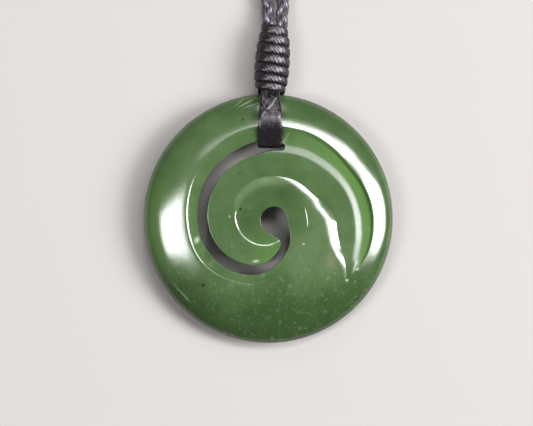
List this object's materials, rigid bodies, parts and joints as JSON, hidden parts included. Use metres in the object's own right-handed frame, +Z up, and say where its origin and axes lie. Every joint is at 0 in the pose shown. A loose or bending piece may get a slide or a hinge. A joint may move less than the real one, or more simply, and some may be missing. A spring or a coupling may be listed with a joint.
{
  "type": "koru pendant necklace",
  "caption": "Carved jade koru disc with a spiral slit, lying face up on a plaited neck cord that a whipped binding joins to a strap through the slit.",
  "frame": {"origin": "on the surface that the pendant lies on, under the centre of the disc's round outline", "axes": "+Z up from the surface, +Y from the stone towards its cord, +X to the right"},
  "size_m": [0.1971, 0.309, 0.0072],
  "materials": {
    "jade": "polished, slightly translucent green jade with pale flecks and dark specks",
    "waxed_cord": "black waxed cord with a soft sheen"
  },
  "bodies": {
    "root": {"koru_disc": "jade", "cord_bail": "waxed_cord", "binding": "waxed_cord", "neck_cord_left": "waxed_cord", "neck_cord_right": "waxed_cord"}
  },
  "joints": []
}
